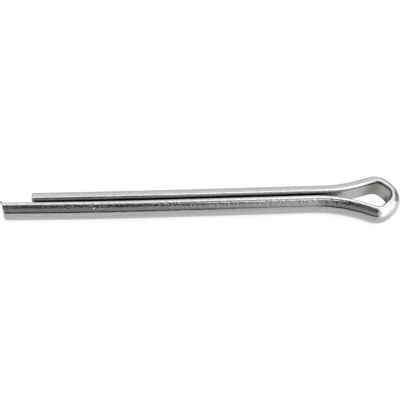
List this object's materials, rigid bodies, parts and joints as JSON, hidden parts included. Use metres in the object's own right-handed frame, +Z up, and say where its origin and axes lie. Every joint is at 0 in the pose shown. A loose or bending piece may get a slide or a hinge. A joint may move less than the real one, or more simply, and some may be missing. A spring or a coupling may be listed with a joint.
{
  "type": "cotter pin",
  "caption": "Split pin of bent half-round steel wire: an eye at one end and two straight legs side by side, one leg longer than the other.",
  "frame": {"origin": "centre of the pin's bounding box at its base, on the surface that the pin lies on", "axes": "+X along the legs toward the eye, +Y from the long leg to the short leg, +Z up across the width of the wire"},
  "size_m": [0.0522, 0.0066, 0.0034],
  "materials": {
    "zinc_plate": "bright zinc plate over drawn wire, fine lengthwise lines and light pitting"
  },
  "bodies": {
    "root": {"split_pin": "zinc_plate"}
  },
  "joints": []
}
